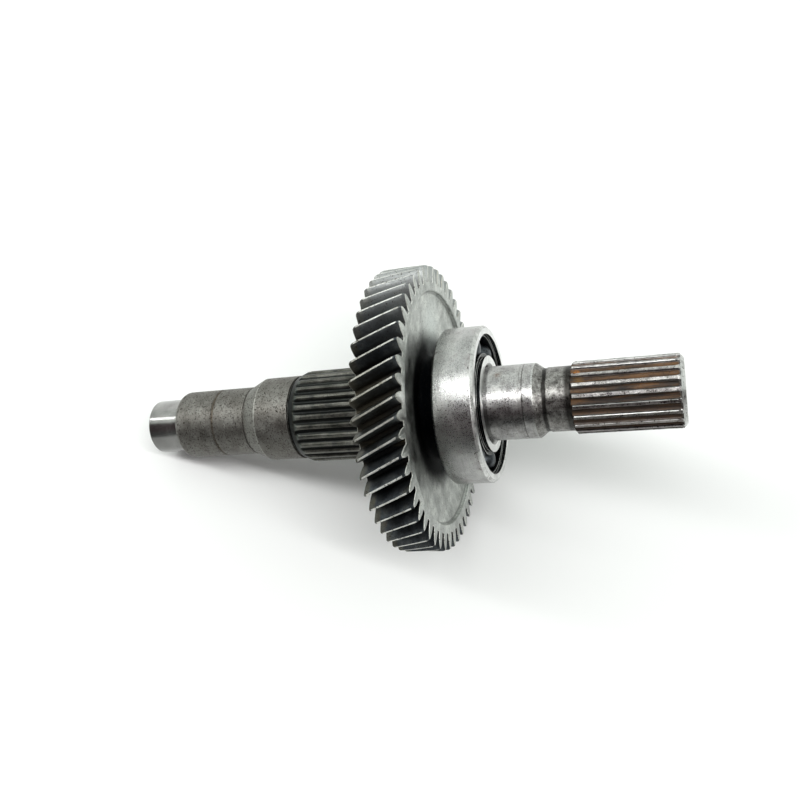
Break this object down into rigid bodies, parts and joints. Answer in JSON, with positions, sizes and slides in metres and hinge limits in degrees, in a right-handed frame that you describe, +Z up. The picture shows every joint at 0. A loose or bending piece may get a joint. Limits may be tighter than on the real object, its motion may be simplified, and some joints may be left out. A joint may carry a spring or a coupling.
{
  "type": "gearbox output shaft",
  "caption": "Stepped steel output shaft with splines, carrying a helical gear with a dished web and a deep-groove ball bearing whose outer ring turns freely.",
  "frame": {"origin": "centre of the bottom of the part's box, on the surface that the part lies on", "axes": "+Z up, +X towards the raised output end. The shaft's axis lies in the XZ plane and rises 21.5 degrees towards +X"},
  "size_m": [0.2178, 0.114, 0.1115],
  "materials": {
    "shaft_steel": "turned and ground steel, worn, with a thin film of oil",
    "gear_steel": "hardened steel, dark and oily between the teeth, worn bright on their tips",
    "ring_steel": "ground steel with fine pits",
    "ball_steel": "polished steel",
    "cage_steel": "pressed sheet steel, dull"
  },
  "bodies": {
    "shaft": {"output_shaft": "shaft_steel", "helical_gear": "gear_steel", "bearing_inner_ring": "ring_steel"},
    "outer_ring": {"bearing_outer_ring": "ring_steel"},
    "cage": {"cage_half_left": "cage_steel", "cage_half_right": "cage_steel", "cage_rivet_1": "cage_steel", "cage_rivet_2": "cage_steel", "cage_rivet_3": "cage_steel", "cage_rivet_4": "cage_steel", "cage_rivet_5": "cage_steel", "cage_rivet_6": "cage_steel", "cage_rivet_7": "cage_steel", "cage_rivet_8": "cage_steel"},
    "ball_1": {"bearing_ball_1": "ball_steel"},
    "ball_2": {"bearing_ball_2": "ball_steel"},
    "ball_3": {"bearing_ball_3": "ball_steel"},
    "ball_4": {"bearing_ball_4": "ball_steel"},
    "ball_5": {"bearing_ball_5": "ball_steel"},
    "ball_6": {"bearing_ball_6": "ball_steel"},
    "ball_7": {"bearing_ball_7": "ball_steel"},
    "ball_8": {"bearing_ball_8": "ball_steel"}
  },
  "joints": [
    {"name": "outer_ring_spin", "type": "hinge", "parent": "shaft", "child": "outer_ring", "pos_m": [0.02921, 0, 0.0634], "axis": [0.9302, 0, 0.367], "continuous": true},
    {"name": "cage_spin", "type": "hinge", "parent": "shaft", "child": "cage", "pos_m": [0.02921, 0, 0.0634], "axis": [0.9302, 0, 0.367], "continuous": true},
    {"name": "ball_1_spin", "type": "hinge", "parent": "cage", "child": "ball_1", "pos_m": [0.03387, -0.01918, 0.0516], "axis": [0.9302, 0, 0.367], "continuous": true},
    {"name": "ball_2_spin", "type": "hinge", "parent": "cage", "child": "ball_2", "pos_m": [0.03748, -0.00458, 0.04244], "axis": [0.9302, 0, 0.367], "continuous": true},
    {"name": "ball_3_spin", "type": "hinge", "parent": "cage", "child": "ball_3", "pos_m": [0.03625, 0.0127, 0.04556], "axis": [0.9302, 0, 0.367], "continuous": true},
    {"name": "ball_4_spin", "type": "hinge", "parent": "cage", "child": "ball_4", "pos_m": [0.03089, 0.02254, 0.05914], "axis": [0.9302, 0, 0.367], "continuous": true},
    {"name": "ball_5_spin", "type": "hinge", "parent": "cage", "child": "ball_5", "pos_m": [0.02455, 0.01918, 0.07521], "axis": [0.9302, 0, 0.367], "continuous": true},
    {"name": "ball_6_spin", "type": "hinge", "parent": "cage", "child": "ball_6", "pos_m": [0.02094, 0.00459, 0.08437], "axis": [0.9302, 0, 0.367], "continuous": true},
    {"name": "ball_7_spin", "type": "hinge", "parent": "cage", "child": "ball_7", "pos_m": [0.02217, -0.01269, 0.08124], "axis": [0.9302, 0, 0.367], "continuous": true},
    {"name": "ball_8_spin", "type": "hinge", "parent": "cage", "child": "ball_8", "pos_m": [0.02753, -0.02254, 0.06767], "axis": [0.9302, 0, 0.367], "continuous": true}
  ],
  "couplings": [
    {"joint": "cage_spin", "follows": "outer_ring_spin", "ratio": 0.61196},
    {"joint": "ball_1_spin", "follows": "outer_ring_spin", "ratio": 2.1211},
    {"joint": "ball_2_spin", "follows": "outer_ring_spin", "ratio": 2.1211},
    {"joint": "ball_3_spin", "follows": "outer_ring_spin", "ratio": 2.1211},
    {"joint": "ball_4_spin", "follows": "outer_ring_spin", "ratio": 2.1211},
    {"joint": "ball_5_spin", "follows": "outer_ring_spin", "ratio": 2.1211},
    {"joint": "ball_6_spin", "follows": "outer_ring_spin", "ratio": 2.1211},
    {"joint": "ball_7_spin", "follows": "outer_ring_spin", "ratio": 2.1211},
    {"joint": "ball_8_spin", "follows": "outer_ring_spin", "ratio": 2.1211}
  ]
}
